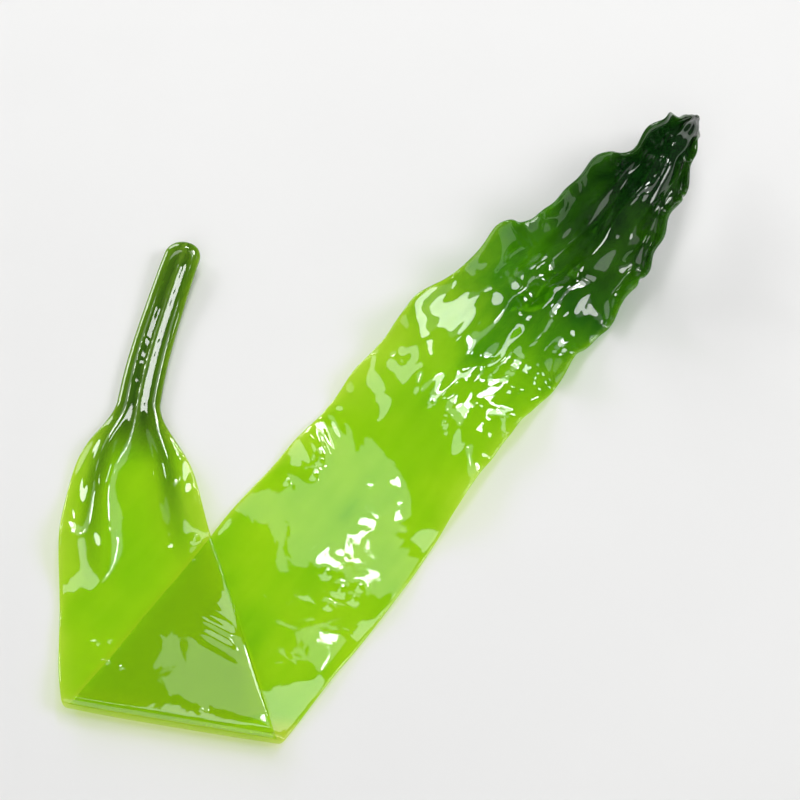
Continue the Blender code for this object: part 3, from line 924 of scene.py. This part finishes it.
# %% How deep the green is, with painted shade towards the tip
def green_depth_and_tip_shade(tree, to_tip, across, inset):
    """0 where the green is lime and 1 where it is darkest.

    It deepens towards the tip, which is painted shade that stands in for the dark of many
    layers heaped together, and a little along the middle, is mottled and streaked by veins,
    and is lighter at the margin.
    """
    mottle = spread(tree, blotches(tree, 9, detail=3), 0.3, 0.72, -0.06, 0.1)
    veins = spread(tree, blotches(tree, 2.2, detail=2, stretch=(1, 0.12, 1)), 0.3, 0.7, -0.04, 0.05)
    band = spread(tree, math(tree, "ABSOLUTE", across), 6.0, 1.0, 0.0, 0.08)
    rim = spread(tree, inset, 1.1, 0.1, 0.0, -0.12)
    # the rise towards the tip is painted shade: one layer there is darkened as if many lay heaped on it
    depth = math(tree, "MULTIPLY_ADD", to_tip, 0.84, 0.12)
    for part in (mottle, veins, band, rim):
        depth = math(tree, "ADD", depth, part)
    return depth


# %% What one face lets through, and what it scatters
DOUBLED_TINT = (0.885, 0.96, 0.34, 1)
FOLD_TINT = (0.92, 0.97, 0.5, 1)


def see_through_tint(tree, depth, along, doubled):
    """Colour of the light that passes one face, paler in the doubled part and round the fold."""
    # the darker stops serve the painted shade towards the tip
    alone = ramp(tree, depth,
                 (0.0, (0.845, 0.975, 0.3)), (0.3, (0.76, 0.94, 0.18)),
                 (0.62, (0.38, 0.73, 0.09)), (1.0, (0.11, 0.3, 0.1)))
    layered = mix_colours(tree, doubled, alone, DOUBLED_TINT)
    bend = spread(tree, math(tree, "ABSOLUTE", along), 4.5, 1.0)
    return mix_colours(tree, bend, layered, FOLD_TINT)


def scattered_colour(tree, depth, share, olive):
    """Colour of the light that the flesh scatters: the blade's greens, and olive on stipe and rails."""
    # the near-black stops serve the painted shade towards the tip
    green = ramp(tree, depth,
                 (0.0, (0.42, 0.74, 0.006)), (0.3, (0.29, 0.6, 0.004)),
                 (0.62, (0.055, 0.2, 0.005)), (1.0, (0.004, 0.02, 0.005)))
    streaks = spread(tree, blotches(tree, 1.1, detail=2, stretch=(1, 0.08, 1)), 0.3, 0.7, -0.06, 0.06)
    # stipe and rails: the channel's pale middle is partly its own pale lines and partly a painted
    # highlight of the wet lines along it, and its walls are darker
    stem = ramp(tree, math(tree, "ADD", share, streaks),
                (0.0, (0.2, 0.4, 0.03)), (0.26, (0.06, 0.17, 0.006)), (0.5, (0.1, 0.25, 0.006)),
                (0.78, (0.14, 0.33, 0.008)), (1.0, (0.28, 0.52, 0.012)))
    return mix_colours(tree, olive, green, stem)


def flesh(tree, tint, scattered, to_tip, olive):
    """See-through and scattering parts: 0.08 scatters near the fold, 0.5 at the tip, 0.72 on the stipe."""
    clear = node(tree, "ShaderNodeBsdfTransparent", {"Color": tint}).outputs[0]
    matt = node(tree, "ShaderNodeBsdfDiffuse", {"Color": scattered}).outputs[0]
    through = node(tree, "ShaderNodeBsdfTranslucent", {"Color": scattered}).outputs[0]
    # towards the tip more of the near-black scattered green is mixed in, part of the painted shade there
    opaque = math(tree, "MULTIPLY_ADD", to_tip, 0.42, 0.08)
    opaque = math(tree, "MAXIMUM", opaque, math(tree, "MULTIPLY", olive, 0.72))
    return mix_shaders(tree, opaque, clear, mix_shaders(tree, 0.4, matt, through))


# %% The wet film
RELIEF_HEIGHT = 0.06 * MM
GLOSS_ROUGHNESS = 0.035


def wet_gloss(tree):
    """Gloss on the film's own fine relief, and its strength, 0.07 + 0.88·facing⁵."""
    slow = blotches(tree, 4.5, detail=1.5, distortion=0.6)
    fine = blotches(tree, 1.4, detail=2)
    height = math(tree, "MULTIPLY_ADD", fine, 0.02, slow)
    bumps = {"Height": height, "Strength": 1.0, "Distance": RELIEF_HEIGHT}
    relief = node(tree, "ShaderNodeBump", bumps).outputs[0]
    gloss = node(tree, "ShaderNodeBsdfGlossy", {"Roughness": GLOSS_ROUGHNESS, "Normal": relief}).outputs[0]
    facing = node(tree, "ShaderNodeLayerWeight", {"Normal": relief, "Blend": 0.5}).outputs["Facing"]
    grazing = math(tree, "MULTIPLY_ADD", math(tree, "POWER", facing, 5.0), 0.88, 0.07)
    return gloss, grazing


def in_open_air(tree, along, doubled):
    """1 where the skin meets air: not on a face seen from inside, and not beneath the flap."""
    outside = math(tree, "SUBTRACT", 1.0, node(tree, "ShaderNodeNewGeometry").outputs["Backfacing"])
    beneath = math(tree, "MULTIPLY", doubled, math(tree, "LESS_THAN", along, 0.0))
    return math(tree, "MULTIPLY", outside, math(tree, "SUBTRACT", 1.0, beneath))


# %% Wet kelp
def wet_kelp(name):
    """Material of blade and stipe: one set of patterns, read along and across the sprout."""
    material, tree = new_material(name)
    along, across, inset, share, olive, doubled = (
        reading(tree, label) for label in ("along", "across", "inset", "share", "olive", "doubled")
    )
    # 0 up to 58 mm from the fold, 1 near the tip: how much of the painted shade is laid on
    to_tip = spread(tree, along, -58.0, -134.0)
    depth = green_depth_and_tip_shade(tree, to_tip, across, inset)
    tint = see_through_tint(tree, depth, along, doubled)
    body = flesh(tree, tint, scattered_colour(tree, depth, share, olive), to_tip, olive)
    gloss, grazing = wet_gloss(tree)
    strength = math(tree, "MULTIPLY", grazing, in_open_air(tree, along, doubled))
    node(tree, "ShaderNodeOutputMaterial", {"Surface": mix_shaders(tree, strength, body, gloss)})
    print(name, "has", len(tree.nodes), "nodes")
    return material


blade.data.materials.append(wet_kelp("wet_green_kelp"))
stipe.data.materials.append(wet_kelp("wet_olive_kelp"))

# %% [markdown]
# ## The table
#
# The green is only bright over something white, so the table is plain and pale. A weak, coarse
# noise keeps it from being one flat colour. It is one large square, so that the low views don't
# see its end. It is stage, and not part of the sprout.

# %% The table
TABLE_HALF = 6.0
TABLE_HEIGHT = -0.06 * MM


def table_top():
    """One large square face, just under the sprout."""
    turns = np.array([(-1, -1), (1, -1), (1, 1), (-1, 1)])
    corners = np.column_stack([turns * TABLE_HALF, np.full(4, TABLE_HEIGHT)])
    material, tree = new_material("pale_table")
    tone = ramp(tree, blotches(tree, 60, detail=3), (0.3, (0.84, 0.84, 0.835)), (0.7, (0.86, 0.86, 0.855)))
    shader = node(tree, "ShaderNodeBsdfPrincipled", {"Base Color": tone, "Roughness": 0.7})
    shader.inputs["Specular IOR Level"].default_value = 0.1
    node(tree, "ShaderNodeOutputMaterial", {"Surface": shader.outputs[0]})
    return add_piece("table_top", corners, [[0, 1, 2, 3]], material)


table_top()

# %% [markdown]
# ## The camera
#
# The camera looks down at the same angle as the photograph. Its distance could be tried out, but
# it is worked out: the pieces' places are turned into the camera's own axes, and there the longer
# side of their box has to fill a chosen share of the square picture. A long lens keeps the near
# fold from looking too big.

# %% The camera
LENS = 85
FILLED = 0.82
CAMERA_AZIMUTH = 35
CAMERA_ELEVATION = 58


def direction(azimuth, elevation):
    """Unit vector towards a camera or a lamp: azimuth 0 is the -Y side, elevation is above the table."""
    a, e = np.radians(azimuth), np.radians(elevation)
    return Vector((np.sin(a) * np.cos(e), -np.cos(a) * np.cos(e), np.sin(e)))


camera_data = bpy.data.cameras.new("camera")
camera_data.lens = LENS
camera_data.clip_start = 0.01
camera_data.clip_end = 10
camera = bpy.data.objects.new("camera", camera_data)
looking_back = direction(CAMERA_AZIMUTH, CAMERA_ELEVATION)
turn = looking_back.to_track_quat("Z", "Y")
every = np.concatenate([(points + SHIFT).reshape(-1, 3) for points in (blade_points, stipe_points)])
seen = every @ np.array(turn.to_matrix())
low, high = seen.min(0), seen.max(0)
middle = turn.to_matrix() @ Vector((low + high) / 2)
distance = float((high - low)[:2].max()) / FILLED * LENS / camera_data.sensor_width
camera.location = middle + looking_back * distance
camera.rotation_mode = "QUATERNION"
camera.rotation_quaternion = turn
bpy.context.scene.collection.objects.link(camera)
bpy.context.scene.camera = camera
bpy.context.scene.view_settings.view_transform = "Standard"
print("the camera stands", round(distance, 3), "m off")

# %% [markdown]
# ## The lights
#
# A wet surface shows the shape of whatever shines on it, so a lamp is not placed by trying. It is
# placed by the spot where its mirror image has to be seen: the camera's ray to that spot is
# reflected, and the lamp stands where it goes. A dim window gives the pale sheen, and small bright
# ceiling lamps give the crisp white squiggles. The steep walls of the rails and pleats mirror
# lower lamps: two give the long lines on the stipe, and two broad ones the pale blots on the
# pleats. Two dim walls and a broad daylight from behind the camera serve the views from elsewhere.

# %% Helpers for lights
def spot_place(spot):
    """The place of a spot of the sprout, given as (u, across) in mm."""
    u, across = (np.array([[value * MM]]) for value in spot)
    return Vector(middle_surface(u, across / half_width(u))[0, 0] + SHIFT)


def mirrored(spot, leaning_towards=0, by=0):
    """Where the camera's ray to a spot goes on, if the skin there leans by some degrees.

    With the ray r and the skin's normal n it is r - 2·(r·n)·n.
    """
    normal = direction(leaning_towards, 90 - by)
    ray = (spot_place(spot) - camera.location).normalized()
    return ray - 2 * ray.dot(normal) * normal


def lamp(name, spot, towards, distance, size, radiance, roll=0):
    """An oval light that stands in one direction from a spot, faces it and sends radiance · π · area."""
    light = bpy.data.lights.new(name, "AREA")
    light.shape = "ELLIPSE"
    light.size, light.size_y = size
    light.energy = radiance * np.pi * (np.pi / 4 * size[0] * size[1])
    holder = bpy.data.objects.new(name, light)
    holder.location = spot_place(spot) + towards * distance
    holder.rotation_mode = "QUATERNION"
    holder.rotation_quaternion = towards.to_track_quat("Z", "Y") @ Quaternion((0, 0, 1), np.radians(roll))
    bpy.context.scene.collection.objects.link(holder)
    azimuth = round(float(np.degrees(np.arctan2(towards.x, -towards.y)) % 360))
    elevation = round(float(np.degrees(np.arcsin(towards.z))))
    print(name, "stands at azimuth", azimuth, "elevation", elevation)


# %% Lamps whose mirror images are seen on the blade
# name, spot in mm, azimuth and degrees of the skin's lean there, size in m, radiance, roll in degrees
WINDOWS = (
    ("window", (-60, 3), (0, 0), (0.27, 0.27), 1.6, 37),
    ("tip_window", (-112, 0), (0, 0), (0.2, 0.24), 8, 37),
    ("overhead", (-100, 0), (12, 14), (0.36, 0.3), 3, 0),
)
WINDOW_DISTANCE = 1.0
# u in mm, azimuth and degrees of the skin's lean there, width in m
CEILING_LAMPS = ((-96, 178, 5, 0.12), (-84, 8, 5, 0.04), (-100, 250, 9, 0.1), (-70, 128, 6, 0.1))
CEILING_DISTANCE = 1.2
CEILING_RADIANCE = 19
CEILING_LENGTH_TO_WIDTH = 1.5

for name, spot, lean, size, radiance, roll in WINDOWS:
    lamp(name, spot, mirrored(spot, *lean), WINDOW_DISTANCE, size, radiance, roll)
for number, (u, towards, by, width) in enumerate(CEILING_LAMPS):
    size = (width, CEILING_LENGTH_TO_WIDTH * width)
    aim = mirrored((u, 0), towards, by)
    lamp(f"ceiling_lamp_{number + 1}", (u, 0), aim, CEILING_DISTANCE, size, CEILING_RADIANCE)

# %% Lamps for the steep walls of the rails and pleats, and for the views from elsewhere
# name, u of the spot in mm, azimuth and elevation, size in m, radiance
SIDE_LAMPS = (
    ("stem_window", 76, (264, 27), (0.24, 0.38), 11),
    ("stem_lamp", 76, (157, 46), (0.12, 0.18), 10),
    ("left_window", -115, (242, 21), (0.44, 0.4), 7),
    ("right_window", -115, (118, 42), (0.5, 0.44), 7.5),
)
SIDE_DISTANCE = 1.1
WALLS = (
    ("bright_wall_1", -50, (117, 28), (0.9, 0.6), 0.7),
    ("bright_wall_2", -50, (307, 26), (0.9, 0.6), 0.7),
)
WALL_DISTANCE = 1.3

for lamps, distance in ((SIDE_LAMPS, SIDE_DISTANCE), (WALLS, WALL_DISTANCE)):
    for name, u, aim, size, radiance in lamps:
        lamp(name, (u, 0), direction(*aim), distance, size, radiance)

# %% Daylight and the room's own light
DAYLIGHT_STRENGTH = 0.85
DAYLIGHT_ANGLE = np.radians(50)
DAYLIGHT_FROM = (20, 40)
ROOM_COLOUR = (1.0, 0.99, 0.97, 1)
ROOM_STRENGTH = 0.09

daylight = bpy.data.lights.new("daylight", "SUN")
daylight.energy = DAYLIGHT_STRENGTH
daylight.angle = DAYLIGHT_ANGLE
sky = bpy.data.objects.new("daylight", daylight)
sky.rotation_mode = "QUATERNION"
sky.rotation_quaternion = direction(*DAYLIGHT_FROM).to_track_quat("Z", "Y")
bpy.context.scene.collection.objects.link(sky)

world = bpy.data.worlds.new("soft_room")
world.use_nodes = True
world.node_tree.nodes["Background"].inputs["Color"].default_value = ROOM_COLOUR
world.node_tree.nodes["Background"].inputs["Strength"].default_value = ROOM_STRENGTH
bpy.context.scene.world = world
print("lights in all:", len(bpy.data.lights))
